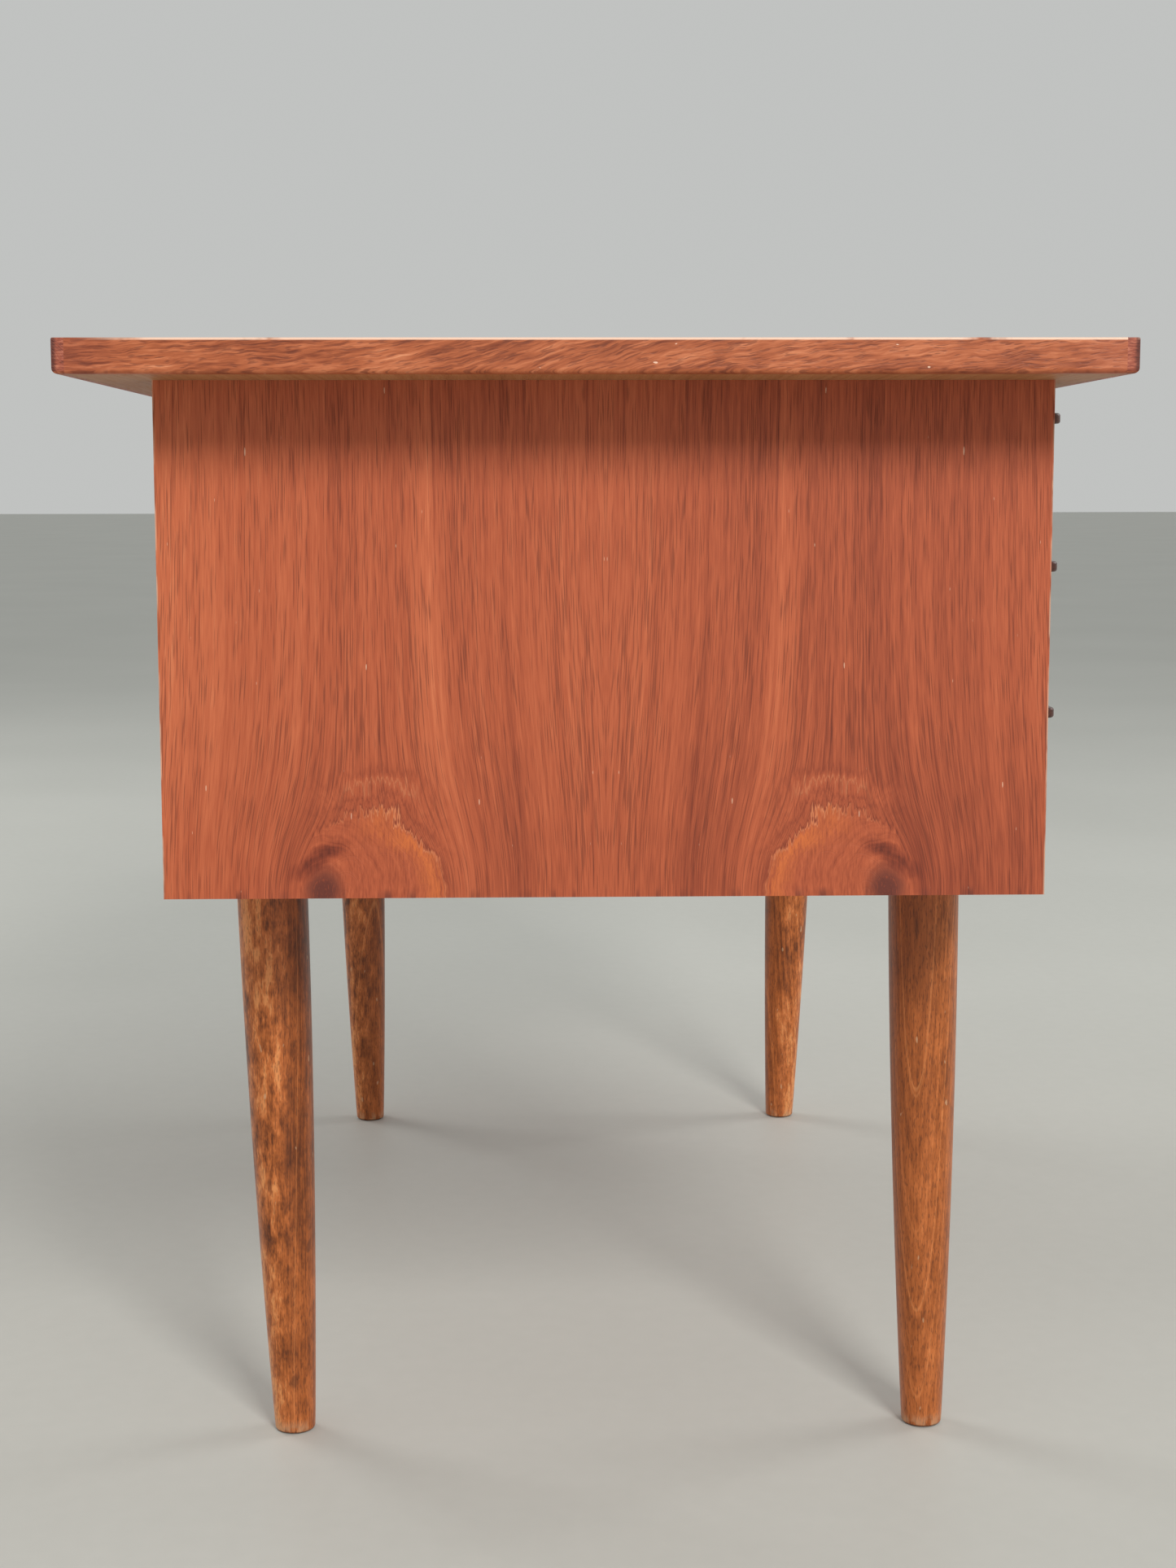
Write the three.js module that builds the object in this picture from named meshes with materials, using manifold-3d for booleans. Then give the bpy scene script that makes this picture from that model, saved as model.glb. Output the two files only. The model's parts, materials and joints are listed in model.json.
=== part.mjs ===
// A free-standing writing desk: a thin top floating out past two drawer pedestals, each on two
// turned legs, with three drawers a side that slide out on wooden runners.
// Millimetres, +Z up. +X is the desk's length, -Y its front (the drawers), +Y its back.
// The origin is on the floor, below the middle of the top.

import * as THREE from 'three';
import Module from 'manifold-3d';
import { mergeVertices } from 'three/addons/utils/BufferGeometryUtils.js';

// Driving dimensions
const DESK_HEIGHT = 730;
const TOP_LENGTH = 1315;
const TOP_DEPTH = 608;
const TOP_THICKNESS = 20;
const EDGING_WIDTH = 7;
const EDGING_TOP_ROUND = 1;
const EDGING_UNDER_ROUND = 3;
const EDGING_STEPS = 6;

const SIDE_OVERHANG = 80;
const FRONT_OVERHANG = 30;
const BACK_OVERHANG = 43;
const PEDESTAL_WIDTH = 330;
const PEDESTAL_HEIGHT = 310;
const BOARD = 16;
const BACK_BOARD = 12;
const BACK_RECESS = 3;

const DRAWER_COUNT = 3;
const FRONT_GAP = 1.5;
const FRONT_THICKNESS = 16;
const BOX_LENGTH = 480;
const BOX_SIDE_HEIGHT = 72;
const BOX_SIDE_LIFT = 6;
const BOX_SIDE_THICKNESS = 11;
const BOX_SIDE_CLEARANCE = 2;
const BOX_BACK_THICKNESS = 10;
const BOTTOM_THICKNESS = 4;
const BOTTOM_LIFT = 6;
const GROOVE_DEPTH = 4;
const FIT = 0.3;

const RUNNER_HEIGHT = 12;
const RUNNER_DEPTH = 7;
const RUNNER_SET_BACK = 24;
const RUNNER_BACK_CLEARANCE = 12;
const RUNNER_GROOVE_DEPTH = 5.5;
const RUNNER_PLAY = 0.8;

const PULL_LENGTH = 200;
const PULL_PROJECTION = 19;
const PULL_THICKNESS = 6.5;
const PULL_TONGUE = 4;
const PULL_CORNER = 7;

const LEG_TOP_DIAMETER = 47.5;
const LEG_TAPER = 20;
const LEG_CURVE = 1.8;
const LEG_INSET = 47;
const FOOT_ROUND = 2.5;
const LEG_STEPS = 16;
const LEG_SIDES = 40;
// How far each foot has drifted along Y from below its bolt, where the old glue joints have given.
const FOOT_DRIFT = { left_front: -4.5, left_back: -10, right_front: 10, right_back: -7.5 };

const BOLT_DIAMETER = 8;
const BOLT_INTO_LEG = 34;
const BOLT_INTO_BOARD = 12;
const BOLT_SIDES = 24;

// Heights and places worked out from them
const topUnderside = DESK_HEIGHT - TOP_THICKNESS;
const pedestalBottom = topUnderside - PEDESTAL_HEIGHT;
const pedestalFront = -TOP_DEPTH / 2 + FRONT_OVERHANG;
const pedestalBack = TOP_DEPTH / 2 - BACK_OVERHANG;
const pedestalCentre = TOP_LENGTH / 2 - SIDE_OVERHANG - PEDESTAL_WIDTH / 2;
const insideHalf = PEDESTAL_WIDTH / 2 - BOARD;
const insideBottom = pedestalBottom + BOARD;
const insideTop = topUnderside - BOARD;
const insideBack = pedestalBack - BACK_RECESS - BACK_BOARD;
const frontHeight = (insideTop - insideBottom - (DRAWER_COUNT + 1) * FRONT_GAP) / DRAWER_COUNT;
const drawerPitch = frontHeight + FRONT_GAP;
const boxHalf = insideHalf - BOX_SIDE_CLEARANCE;
const boxInsideHalf = boxHalf - BOX_SIDE_THICKNESS;
const boxFront = pedestalFront + FRONT_THICKNESS;
const boxBack = boxFront + BOX_LENGTH;
const bottomBoardHalf = boxInsideHalf + GROOVE_DEPTH - FIT;

const MATERIALS = {
  teakVeneer: { color: 0xa8672f, roughness: 0.5, metalness: 0 },
  teakSolid: { color: 0xa5602a, roughness: 0.45, metalness: 0 },
  pullTeak: { color: 0x5a3018, roughness: 0.45, metalness: 0 },
  legBeech: { color: 0xb8702c, roughness: 0.4, metalness: 0 },
  drawerBeech: { color: 0xcfa878, roughness: 0.6, metalness: 0 },
  drawerBottom: { color: 0xc9a577, roughness: 0.7, metalness: 0 },
  steel: { color: 0x9a9a98, roughness: 0.35, metalness: 1 },
};
const materials = Object.fromEntries(
  Object.entries(MATERIALS).map(([name, look]) => [name, new THREE.MeshStandardMaterial(look)]),
);

const wasm = await Module();
wasm.setup();

// Boolean helpers: a three.js geometry as a solid, and a solid as a geometry.
function toSolid(geometry) {
  const bare = geometry.clone();
  bare.deleteAttribute('normal');
  bare.deleteAttribute('uv');
  const merged = mergeVertices(bare, 1e-4);
  return new wasm.Manifold(new wasm.Mesh({
    numProp: 3,
    vertProperties: new Float32Array(merged.attributes.position.array),
    triVerts: new Uint32Array(merged.index.array),
  }));
}

function toGeometry(solid) {
  const mesh = solid.getMesh();
  const geometry = new THREE.BufferGeometry();
  geometry.setAttribute('position', new THREE.BufferAttribute(mesh.vertProperties, 3));
  geometry.setIndex(new THREE.BufferAttribute(mesh.triVerts, 1));
  geometry.computeVertexNormals();
  return geometry;
}

function cut(geometry, tools) {
  return toGeometry(tools.reduce((left, tool) => left.subtract(toSolid(tool)), toSolid(geometry)));
}

function join(geometry, extras) {
  return toGeometry(extras.reduce((whole, extra) => whole.add(toSolid(extra)), toSolid(geometry)));
}

// A block between two limits on each axis.
function block([x0, x1], [y0, y1], [z0, z1]) {
  const geometry = new THREE.BoxGeometry(x1 - x0, y1 - y0, z1 - z0);
  return geometry.translate((x0 + x1) / 2, (y0 + y1) / 2, (z0 + z1) / 2);
}

const desk = new THREE.Group();

function addPart(parent, name, geometry, material) {
  const mesh = new THREE.Mesh(geometry, material);
  mesh.name = name;
  parent.add(mesh);
}

// The top: a veneered board inside an edging of solid teak. The front and back lengths run right
// through, and the two short ones fit between them.

function topBoard() {
  const halfLength = TOP_LENGTH / 2 - EDGING_WIDTH;
  const halfDepth = TOP_DEPTH / 2 - EDGING_WIDTH;
  return block([-halfLength, halfLength], [-halfDepth, halfDepth], [topUnderside, DESK_HEIGHT]);
}

// The outer edge's section, from the underside up: how far in from the desk's outline each point
// lies, and its height. The edge is rounded below and eased above.
function edgeSection() {
  const section = [];
  for (let i = 0; i <= EDGING_STEPS; i += 1) {
    const angle = (i / EDGING_STEPS) * Math.PI / 2;
    section.push([
      EDGING_UNDER_ROUND * (1 - Math.sin(angle)),
      topUnderside + EDGING_UNDER_ROUND * (1 - Math.cos(angle)),
    ]);
  }
  for (let i = 0; i <= EDGING_STEPS; i += 1) {
    const angle = (i / EDGING_STEPS) * Math.PI / 2;
    section.push([
      EDGING_TOP_ROUND * (1 - Math.cos(angle)),
      DESK_HEIGHT - EDGING_TOP_ROUND * (1 - Math.sin(angle)),
    ]);
  }
  return section;
}

// The whole top as one solid: a stack of rectangles, each set in by the edge's section.
function topSlab() {
  const section = edgeSection();
  const corners = [[-1, -1], [1, -1], [1, 1], [-1, 1]];
  const positions = section.flatMap(([inset, z]) => corners.flatMap(
    ([x, y]) => [x * (TOP_LENGTH / 2 - inset), y * (TOP_DEPTH / 2 - inset), z],
  ));
  const faces = [0, 2, 1, 0, 3, 2];
  for (let level = 0; level < section.length - 1; level += 1) {
    for (let corner = 0; corner < 4; corner += 1) {
      const here = 4 * level + corner;
      const beside = 4 * level + ((corner + 1) % 4);
      faces.push(here, beside, beside + 4, here, beside + 4, here + 4);
    }
  }
  const last = 4 * (section.length - 1);
  faces.push(last, last + 1, last + 2, last, last + 2, last + 3);
  const geometry = new THREE.BufferGeometry();
  geometry.setAttribute('position', new THREE.Float32BufferAttribute(positions, 3));
  geometry.setIndex(faces);
  return geometry;
}

function keepInside(geometry, region) {
  return toGeometry(toSolid(geometry).intersect(toSolid(region)));
}

function addTop() {
  addPart(desk, 'top_board', topBoard(), materials.teakVeneer);
  const [x, y] = [TOP_LENGTH / 2, TOP_DEPTH / 2];
  const strips = {
    front: [[-x - 1, x + 1], [-y - 1, -y + EDGING_WIDTH]],
    back: [[-x - 1, x + 1], [y - EDGING_WIDTH, y + 1]],
    left: [[-x - 1, -x + EDGING_WIDTH], [-y + EDGING_WIDTH, y - EDGING_WIDTH]],
    right: [[x - EDGING_WIDTH, x + 1], [-y + EDGING_WIDTH, y - EDGING_WIDTH]],
  };
  for (const [name, [across, along]] of Object.entries(strips)) {
    const region = block(across, along, [topUnderside - 1, DESK_HEIGHT + 1]);
    addPart(desk, `top_edging_${name}`, keepInside(topSlab(), region), materials.teakSolid);
  }
}

// A drawer's own heights, counted from the top drawer down.
function drawerHeights(index) {
  const frontTop = insideTop - FRONT_GAP - index * drawerPitch;
  const frontBottom = frontTop - frontHeight;
  const sideBottom = frontBottom + BOX_SIDE_LIFT;
  const sideTop = sideBottom + BOX_SIDE_HEIGHT;
  const runnerMiddle = (sideBottom + sideTop) / 2;
  return { frontTop, frontBottom, sideBottom, sideTop, runnerMiddle };
}

// A pedestal's side panel with its three runner strips, in the pedestal's own X. side is -1 or 1.
function pedestalSide(side) {
  const faceIn = side * insideHalf;
  const faceOut = side * PEDESTAL_WIDTH / 2;
  const panel = block(
    [Math.min(faceIn, faceOut), Math.max(faceIn, faceOut)],
    [pedestalFront, pedestalBack],
    [pedestalBottom, topUnderside],
  );
  const runnerIn = side * (insideHalf - RUNNER_DEPTH);
  const runnerOut = side * (insideHalf + 1);
  const runners = [];
  for (let index = 0; index < DRAWER_COUNT; index += 1) {
    const { runnerMiddle } = drawerHeights(index);
    runners.push(block(
      [Math.min(runnerIn, runnerOut), Math.max(runnerIn, runnerOut)],
      [pedestalFront + RUNNER_SET_BACK, insideBack - RUNNER_BACK_CLEARANCE],
      [runnerMiddle - RUNNER_HEIGHT / 2, runnerMiddle + RUNNER_HEIGHT / 2],
    ));
  }
  return join(panel, runners);
}

function legPlaces() {
  return [
    { end: 'front', y: pedestalFront + LEG_INSET },
    { end: 'back', y: pedestalBack - LEG_INSET },
  ];
}

// A drilled hole, upright, for a hanger bolt.
function boltHole(y, bottom, top) {
  const radius = BOLT_DIAMETER / 2 + FIT;
  const hole = new THREE.CylinderGeometry(radius, radius, top - bottom, BOLT_SIDES);
  return hole.rotateX(Math.PI / 2).translate(0, y, (top + bottom) / 2);
}

function pedestalBottomBoard() {
  const board = block(
    [-insideHalf, insideHalf],
    [pedestalFront, pedestalBack],
    [pedestalBottom, insideBottom],
  );
  const holeTop = pedestalBottom + BOLT_INTO_BOARD + FIT;
  return cut(board, legPlaces().map(({ y }) => boltHole(y, pedestalBottom - 1, holeTop)));
}

function addCarcass(group, name) {
  const across = [-insideHalf, insideHalf];
  const outer = name === 'left' ? -1 : 1;
  addPart(group, `${name}_outer_side`, pedestalSide(outer), materials.teakVeneer);
  addPart(group, `${name}_inner_side`, pedestalSide(-outer), materials.teakVeneer);
  addPart(group, `${name}_bottom_board`, pedestalBottomBoard(), materials.teakVeneer);
  const topRail = block(across, [pedestalFront, pedestalBack], [insideTop, topUnderside]);
  addPart(group, `${name}_top_rail`, topRail, materials.teakVeneer);
  const backBoard = block(across, [insideBack, insideBack + BACK_BOARD], [insideBottom, insideTop]);
  addPart(group, `${name}_back_board`, backBoard, materials.teakVeneer);
}

// Turned leg: a bulging taper from its broad top to the foot, drilled for its bolt.
function legRadius(z) {
  const fall = (1 - z / pedestalBottom) ** LEG_CURVE;
  return (LEG_TOP_DIAMETER - LEG_TAPER * fall) / 2;
}

function legGeometry(y, footDrift) {
  const foot = legRadius(0);
  const profile = [new THREE.Vector2(0, 0)];
  for (let i = 0; i <= 3; i += 1) {
    const angle = (i / 3) * Math.PI / 2;
    profile.push(new THREE.Vector2(
      foot - FOOT_ROUND * (1 - Math.sin(angle)),
      FOOT_ROUND * (1 - Math.cos(angle)),
    ));
  }
  for (let i = 1; i <= LEG_STEPS; i += 1) {
    const z = FOOT_ROUND + (i / LEG_STEPS) * (pedestalBottom - FOOT_ROUND);
    profile.push(new THREE.Vector2(legRadius(z), z));
  }
  profile.push(new THREE.Vector2(0, pedestalBottom));
  const turned = new THREE.LatheGeometry(profile, LEG_SIDES).rotateX(Math.PI / 2);
  const position = turned.attributes.position;
  for (let i = 0; i < position.count; i += 1) {
    const drop = 1 - position.getZ(i) / pedestalBottom;
    position.setY(i, position.getY(i) + y + drop * footDrift);
  }
  const hole = boltHole(y, pedestalBottom - BOLT_INTO_LEG - FIT, pedestalBottom + 1);
  return cut(turned, [hole]);
}

function boltGeometry(y) {
  const length = BOLT_INTO_LEG + BOLT_INTO_BOARD;
  const middle = pedestalBottom + (BOLT_INTO_BOARD - BOLT_INTO_LEG) / 2;
  const bolt = new THREE.CylinderGeometry(BOLT_DIAMETER / 2, BOLT_DIAMETER / 2, length, BOLT_SIDES);
  return bolt.rotateX(Math.PI / 2).translate(0, y, middle);
}

function addLegs(group, name) {
  for (const { end, y } of legPlaces()) {
    const legName = `${name}_${end}`;
    const leg = legGeometry(y, FOOT_DRIFT[legName]);
    addPart(group, `${legName}_leg`, leg, materials.legBeech);
    addPart(group, `${legName}_leg_bolt`, boltGeometry(y), materials.steel);
  }
}

// Drawers

function drawerFront({ frontTop, frontBottom, sideBottom }) {
  const half = insideHalf - FRONT_GAP;
  const front = block([-half, half], [pedestalFront, boxFront], [frontBottom, frontTop]);
  const pullSeat = block(
    [-PULL_LENGTH / 2 - FIT, PULL_LENGTH / 2 + FIT],
    [pedestalFront - 1, pedestalFront + PULL_TONGUE + FIT],
    [frontTop - PULL_THICKNESS - FIT, frontTop + 1],
  );
  const grooveBottom = sideBottom + BOTTOM_LIFT;
  const bottomGroove = block(
    [-bottomBoardHalf - FIT, bottomBoardHalf + FIT],
    [boxFront - GROOVE_DEPTH, boxFront + 1],
    [grooveBottom, grooveBottom + BOTTOM_THICKNESS + FIT],
  );
  return cut(front, [pullSeat, bottomGroove]);
}

// The lip pull: a flat strip with rounded outer corners, its tongue let into the front.
function drawerPull({ frontTop }) {
  const half = PULL_LENGTH / 2;
  const back = pedestalFront + PULL_TONGUE;
  const nose = pedestalFront - PULL_PROJECTION;
  const outline = new THREE.Shape();
  outline.moveTo(half, back);
  outline.lineTo(-half, back);
  outline.lineTo(-half, nose + PULL_CORNER);
  outline.absarc(-half + PULL_CORNER, nose + PULL_CORNER, PULL_CORNER, Math.PI, 1.5 * Math.PI);
  outline.absarc(half - PULL_CORNER, nose + PULL_CORNER, PULL_CORNER, 1.5 * Math.PI, 2 * Math.PI);
  outline.closePath();
  const strip = new THREE.ExtrudeGeometry(outline, {
    depth: PULL_THICKNESS,
    bevelEnabled: false,
    curveSegments: 8,
  });
  return strip.translate(0, 0, frontTop - PULL_THICKNESS);
}

// A drawer side, grooved outside for its runner and inside for the bottom. side is -1 or 1.
function drawerSide(side, { sideBottom, sideTop, runnerMiddle }) {
  const between = (near, far) => [Math.min(side * near, side * far), Math.max(side * near, side * far)];
  const board = block(between(boxInsideHalf, boxHalf), [boxFront, boxBack], [sideBottom, sideTop]);
  const runnerGroove = block(
    between(boxHalf - RUNNER_GROOVE_DEPTH, boxHalf + 1),
    [boxFront - 1, boxBack + 1],
    [runnerMiddle - RUNNER_HEIGHT / 2 - RUNNER_PLAY, runnerMiddle + RUNNER_HEIGHT / 2 + FIT],
  );
  const grooveBottom = sideBottom + BOTTOM_LIFT;
  const bottomGroove = block(
    between(boxInsideHalf - 1, boxInsideHalf + GROOVE_DEPTH),
    [boxFront - 1, boxBack + 1],
    [grooveBottom, grooveBottom + BOTTOM_THICKNESS + FIT],
  );
  return cut(board, [runnerGroove, bottomGroove]);
}

function drawerBack({ sideBottom, sideTop }) {
  const bottomBoardTop = sideBottom + BOTTOM_LIFT + BOTTOM_THICKNESS;
  return block(
    [-boxInsideHalf, boxInsideHalf],
    [boxBack - BOX_BACK_THICKNESS, boxBack],
    [bottomBoardTop, sideTop],
  );
}

function drawerBottom({ sideBottom }) {
  return block(
    [-bottomBoardHalf, bottomBoardHalf],
    [boxFront - GROOVE_DEPTH + FIT, boxBack],
    [sideBottom + BOTTOM_LIFT, sideBottom + BOTTOM_LIFT + BOTTOM_THICKNESS],
  );
}

function addDrawer(group, name, index) {
  const heights = drawerHeights(index);
  addPart(group, `${name}_front`, drawerFront(heights), materials.teakVeneer);
  addPart(group, `${name}_pull`, drawerPull(heights), materials.pullTeak);
  addPart(group, `${name}_side_l`, drawerSide(-1, heights), materials.drawerBeech);
  addPart(group, `${name}_side_r`, drawerSide(1, heights), materials.drawerBeech);
  addPart(group, `${name}_back`, drawerBack(heights), materials.drawerBeech);
  addPart(group, `${name}_bottom`, drawerBottom(heights), materials.drawerBottom);
}

function addPedestal(name, x) {
  const pedestal = new THREE.Group();
  pedestal.position.x = x;
  addCarcass(pedestal, name);
  addLegs(pedestal, name);
  for (let index = 0; index < DRAWER_COUNT; index += 1) {
    addDrawer(pedestal, `${name}_drawer_${index + 1}`, index);
  }
  desk.add(pedestal);
}

addTop();
addPedestal('left', -pedestalCentre);
addPedestal('right', pedestalCentre);

export default desk;
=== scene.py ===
import json
import math

import bmesh
import bpy
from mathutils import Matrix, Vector


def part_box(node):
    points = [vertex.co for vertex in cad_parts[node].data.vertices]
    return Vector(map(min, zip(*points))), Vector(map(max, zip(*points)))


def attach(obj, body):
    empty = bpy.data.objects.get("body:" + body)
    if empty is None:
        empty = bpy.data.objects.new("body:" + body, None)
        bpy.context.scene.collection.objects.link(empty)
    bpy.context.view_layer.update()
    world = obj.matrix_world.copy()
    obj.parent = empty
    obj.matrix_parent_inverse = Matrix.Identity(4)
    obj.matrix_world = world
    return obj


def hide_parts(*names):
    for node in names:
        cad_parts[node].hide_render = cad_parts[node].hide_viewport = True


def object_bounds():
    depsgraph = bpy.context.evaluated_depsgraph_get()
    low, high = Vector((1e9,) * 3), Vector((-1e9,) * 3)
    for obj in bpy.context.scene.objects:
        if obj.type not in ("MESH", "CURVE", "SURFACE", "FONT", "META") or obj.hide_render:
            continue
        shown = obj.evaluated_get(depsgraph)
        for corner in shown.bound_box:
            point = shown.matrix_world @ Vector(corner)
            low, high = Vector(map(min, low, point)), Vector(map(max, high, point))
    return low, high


# The looks of the writing desk: teak veneer and solid teak, stained beech legs, dark lip pulls.
# Metres, in the CAD frame: +X along the desk, -Y the drawers' side, +Z up.

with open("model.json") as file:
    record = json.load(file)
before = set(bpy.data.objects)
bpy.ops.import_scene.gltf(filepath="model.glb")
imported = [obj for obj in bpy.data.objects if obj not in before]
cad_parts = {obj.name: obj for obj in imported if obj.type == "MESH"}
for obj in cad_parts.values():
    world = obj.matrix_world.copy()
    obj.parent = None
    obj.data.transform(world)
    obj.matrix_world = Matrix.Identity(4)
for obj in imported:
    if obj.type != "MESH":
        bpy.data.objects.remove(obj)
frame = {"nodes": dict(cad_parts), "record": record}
cad_low, cad_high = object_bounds()
NODES = frame["nodes"]
MOUNTS = {mount["name"]: Vector(mount["pos_m"]) for mount in frame["record"]["mounts"]}
PEDESTALS = ("left", "right")
DRAWERS = [f"{side}_drawer_{i}" for side in PEDESTALS for i in (1, 2, 3)]
LEGS = [f"{side}_{end}" for side in PEDESTALS for end in ("front", "back")]


def middle(node):
    """The middle of a node's box."""
    low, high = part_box(node)
    return (low + high) / 2


# ---------------------------------------------------------------- node graphs


def srgb(red, green, blue):
    """A colour given in 0 to 255 display steps, as the linear RGBA that shaders take."""
    linear = []
    for step in (red, green, blue):
        c = step / 255
        linear.append(c / 12.92 if c <= 0.04045 else ((c + 0.055) / 1.055) ** 2.4)
    return (*linear, 1.0)


# Where a colour Mix node keeps its colour sockets.
MIX_FACTOR, MIX_A, MIX_B, MIX_RESULT = 0, 6, 7, 2

# The same for every finish.
SPECULAR_LEVEL = 0.32
COAT_ROUGHNESS = 0.3
BUMP_STRENGTH = 0.6


class Value:
    """A number in a material's graph. Arithmetic on it adds Math nodes."""

    def __init__(self, graph, socket):
        self.graph = graph
        self.socket = socket

    def __add__(self, other):
        return self.graph.calc("ADD", self, other)

    def __sub__(self, other):
        return self.graph.calc("SUBTRACT", self, other)

    def __rsub__(self, other):
        return self.graph.calc("SUBTRACT", other, self)

    def __mul__(self, other):
        return self.graph.calc("MULTIPLY", self, other)

    def __truediv__(self, other):
        return self.graph.calc("DIVIDE", self, other)

    def __rtruediv__(self, other):
        return self.graph.calc("DIVIDE", other, self)

    def __abs__(self):
        return self.graph.calc("ABSOLUTE", self)

    __radd__ = __add__
    __rmul__ = __mul__


class Graph:
    """A new material whose Principled shader is fed by the nodes that its methods add."""

    def __init__(self, name):
        self.material = bpy.data.materials.new(name)
        self.material.use_nodes = True
        self.tree = self.material.node_tree
        self.shader = self.tree.nodes["Principled BSDF"]
        coordinates = self.add("TexCoord")
        split = self.add("SeparateXYZ")
        self.tree.links.new(coordinates.outputs["Object"], split.inputs[0])
        self.x, self.y, self.z = (Value(self, socket) for socket in split.outputs)

    def add(self, kind):
        return self.tree.nodes.new("ShaderNode" + kind)

    def put(self, socket, value):
        """Feeds a socket with a Value, or sets it to a constant."""
        if isinstance(value, Value):
            self.tree.links.new(value.socket, socket)
        else:
            socket.default_value = value

    def calc(self, operation, *values):
        node = self.add("Math")
        node.operation = operation
        for socket, value in zip(node.inputs, values):
            self.put(socket, value)
        return Value(self, node.outputs[0])

    def length(self, *values):
        """The square root of the sum of the squares."""
        total = values[0] * values[0]
        for value in values[1:]:
            total = total + value * value
        return self.calc("SQRT", total)

    def noise(self, x, y, z, detail=2.0, roughness=0.5):
        """Smooth noise about 0.5, one wave for each unit of x, y and z."""
        vector = self.add("CombineXYZ")
        for socket, value in zip(vector.inputs, (x, y, z)):
            self.put(socket, value)
        node = self.add("TexNoise")
        node.inputs["Scale"].default_value = 1.0
        node.inputs["Detail"].default_value = detail
        node.inputs["Roughness"].default_value = roughness
        self.tree.links.new(vector.outputs[0], node.inputs["Vector"])
        return Value(self, node.outputs["Fac"])

    def step(self, value, low, high):
        """0 at low, 1 at high, with soft ends."""
        node = self.add("MapRange")
        node.interpolation_type = "SMOOTHSTEP"
        for socket, given in zip(node.inputs, (value, low, high, 0.0, 1.0)):
            self.put(socket, given)
        return Value(self, node.outputs[0])

    def ramp(self, value, stops):
        """The colour that the stops, pairs of a place and a colour, give for the value."""
        node = self.add("ValToRGB")
        elements = node.color_ramp.elements
        while len(elements) < len(stops):
            elements.new(1.0)
        for element, (place, colour) in zip(elements, stops):
            element.position = place
            element.color = colour
        self.put(node.inputs[0], value)
        return Value(self, node.outputs[0])

    def mix(self, factor, first, second):
        """The first colour where the factor is 0, the second where it is 1."""
        node = self.add("Mix")
        node.data_type = "RGBA"
        self.put(node.inputs[MIX_FACTOR], factor)
        self.put(node.inputs[MIX_A], first)
        self.put(node.inputs[MIX_B], second)
        return Value(self, node.outputs[MIX_RESULT])

    def finish(self, colour, roughness, height, bump_mm, coat=0.0):
        """Feeds the shader. height runs 0 to 1 over bump_mm millimetres."""
        self.put(self.shader.inputs["Base Color"], colour)
        self.put(self.shader.inputs["Roughness"], roughness)
        self.shader.inputs["Specular IOR Level"].default_value = SPECULAR_LEVEL
        self.shader.inputs["Coat Weight"].default_value = coat
        self.shader.inputs["Coat Roughness"].default_value = COAT_ROUGHNESS
        bump = self.add("Bump")
        bump.inputs["Distance"].default_value = bump_mm / 1000
        bump.inputs["Strength"].default_value = BUMP_STRENGTH
        self.put(bump.inputs["Height"], height)
        self.tree.links.new(bump.outputs[0], self.shader.inputs["Normal"])
        return self.material


# ---------------------------------------------------------------- woods

TEAK_TONES = [
    (0.0, srgb(98, 40, 27)),
    (0.25, srgb(142, 64, 40)),
    (0.5, srgb(179, 88, 55)),
    (0.75, srgb(202, 108, 70)),
    (1.0, srgb(230, 146, 102)),
]
EDGING_TONES = [
    (0.0, srgb(78, 34, 22)),
    (0.25, srgb(132, 64, 38)),
    (0.5, srgb(176, 95, 58)),
    (0.75, srgb(206, 124, 84)),
    (1.0, srgb(238, 172, 132)),
]
END_GRAIN_TONES = [
    (0.0, srgb(92, 42, 34)),
    (0.5, srgb(158, 82, 62)),
    (1.0, srgb(206, 128, 100)),
]
BEECH_STAIN_TONES = [
    (0.0, srgb(66, 30, 12)),
    (0.25, srgb(116, 58, 22)),
    (0.5, srgb(164, 88, 38)),
    (0.75, srgb(198, 112, 56)),
    (1.0, srgb(226, 146, 86)),
]
PULL_TONES = [
    (0.0, srgb(38, 20, 16)),
    (0.5, srgb(74, 42, 34)),
    (1.0, srgb(104, 62, 48)),
]
RAW_BEECH_TONES = [
    (0.0, srgb(164, 124, 84)),
    (0.5, srgb(206, 168, 124)),
    (1.0, srgb(230, 198, 158)),
]
PLY_TONES = [
    (0.0, srgb(158, 120, 82)),
    (0.5, srgb(196, 158, 116)),
    (1.0, srgb(218, 186, 146)),
]
PLAIN_UNDERSIDE_TONES = [
    (0.0, srgb(128, 84, 50)),
    (0.5, srgb(172, 119, 76)),
    (1.0, srgb(198, 148, 102)),
]
PORE = srgb(96, 42, 28)
PALE_CHIP_AND_HIGHLIGHT = srgb(236, 196, 168)
FIGURE_GOLD = srgb(214, 114, 56)
FIGURE_PALE = srgb(232, 150, 104)
KNOT_DARK = srgb(84, 40, 36)
RUBBED_AND_HIGHLIGHT_PALE = srgb(246, 208, 184)
CORNER_SHADE = srgb(70, 34, 30)
BEECH_FLECK = srgb(70, 34, 18)
PALE_YEAR = srgb(222, 150, 92)
FOOT_PALE = srgb(206, 172, 136)
PULL_PORE = srgb(24, 12, 10)
RAW_FLECK = srgb(140, 98, 62)
STEEL_TONES = [
    (0.3, srgb(150, 150, 146)),
    (0.7, srgb(196, 196, 190)),
]
FLOOR_TONES = [
    (0.0, srgb(176, 177, 170)),
    (1.0, srgb(206, 206, 200)),
]

# The pedestals' boards are this thick.
BOARD = 0.016

# The dovetails in each drawer front's ends, and how softly their outline is drawn.
TAIL_COUNT = 3
TAIL_LENGTH = 0.011
TAIL_HALF_WIDTH = 0.0065
TAIL_TAPER = 0.16
TAIL_OUTLINE = 0.0002


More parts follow.
